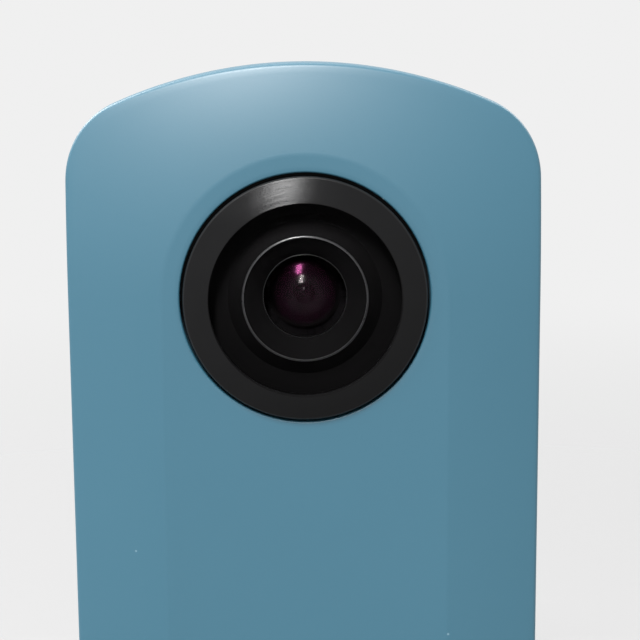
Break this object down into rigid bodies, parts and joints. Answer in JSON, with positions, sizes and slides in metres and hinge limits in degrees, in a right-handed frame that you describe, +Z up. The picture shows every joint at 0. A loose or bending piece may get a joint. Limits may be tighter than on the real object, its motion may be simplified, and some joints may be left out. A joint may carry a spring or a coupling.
{
  "type": "360 degree camera",
  "caption": "Slim upright pocket camera with a domed fisheye lens on each face, an arched top, a round shutter button, side buttons and a tripod socket in its base.",
  "frame": {"origin": "centre of the footprint, on the base plane", "axes": "+Z up the body, -Y out of the shutter face, +X towards the side buttons"},
  "size_m": [0.0455, 0.023, 0.1306],
  "materials": {
    "body_paint": "satin blue paint with a very fine texture",
    "base_plastic": "fine matte moulding",
    "frame_plastic": "glass-filled moulding",
    "bezel_grey": "satin dark grey anodising",
    "lens_glass": "polished and coated",
    "inner_glass": "polished",
    "lens_black": "matte black",
    "seal_rubber": "soft moulded",
    "board": "solder mask",
    "flex": "polyimide film",
    "chip": "moulded package",
    "sensor": "glazed package",
    "cell": "laminate pouch",
    "steel": "nickel plated",
    "bush_brass": "nickel plated brass",
    "aerial_metal": "plated foil",
    "lamp": "frosted clear moulding",
    "button_paint": "satin blue paint",
    "ring_metal": "turned satin metal"
  },
  "bodies": {
    "body": {"front_cover": "body_paint", "rear_cover": "body_paint", "bottom_panel": "base_plastic", "chassis": "frame_plastic", "front_lens_bezel": "bezel_grey", "front_lens_dome": "lens_glass", "front_lens_gasket": "seal_rubber", "front_lens_baffle": "lens_black", "front_second_lens": "inner_glass", "front_lens_barrel": "lens_black", "rear_lens_bezel": "bezel_grey", "rear_lens_dome": "lens_glass", "rear_lens_gasket": "seal_rubber", "rear_lens_baffle": "lens_black", "rear_second_lens": "inner_glass", "rear_lens_barrel": "lens_black", "optical_block": "frame_plastic", "front_prism": "inner_glass", "rear_prism": "inner_glass", "left_relay_barrel": "lens_black", "right_relay_barrel": "lens_black", "left_relay_lens": "inner_glass", "right_relay_lens": "inner_glass", "left_image_sensor": "sensor", "right_image_sensor": "sensor", "left_sensor_board": "board", "right_sensor_board": "board", "left_sensor_flex": "flex", "right_sensor_flex": "flex", "main_board": "board", "shield_can": "steel", "processor_chip": "chip", "board_chips": "chip", "flex_connectors": "chip", "status_leds": "lamp", "light_guide": "lamp", "battery": "cell", "battery_lead": "flex", "data_socket": "steel", "video_socket": "steel", "tripod_bush": "bush_brass", "strap_bar": "steel", "microphone": "steel", "mic_boot": "seal_rubber", "speaker": "chip", "wireless_antenna": "aerial_metal", "shutter_ring": "ring_metal", "shutter_switch": "chip", "side_key_board": "board", "side_key_switches": "steel", "board_screws": "steel", "chassis_screws": "steel", "block_screws": "steel", "panel_screws": "steel"},
    "shutter": {"shutter_button": "button_paint"},
    "power": {"power_button": "button_paint"},
    "wireless": {"wireless_button": "button_paint"},
    "mode": {"mode_button": "button_paint"}
  },
  "joints": [
    {"name": "shutter_press", "type": "slide", "parent": "body", "child": "shutter", "axis": [0, 1, 0], "range_m": [0, 0.0006], "stiffness_N_per_m": 2000},
    {"name": "power_press", "type": "slide", "parent": "body", "child": "power", "axis": [-1, 0, 0], "range_m": [0, 0.0004], "stiffness_N_per_m": 2000},
    {"name": "wireless_press", "type": "slide", "parent": "body", "child": "wireless", "axis": [-1, 0, 0], "range_m": [0, 0.0004], "stiffness_N_per_m": 2000},
    {"name": "mode_press", "type": "slide", "parent": "body", "child": "mode", "axis": [-1, 0, 0], "range_m": [0, 0.0004], "stiffness_N_per_m": 2000}
  ]
}
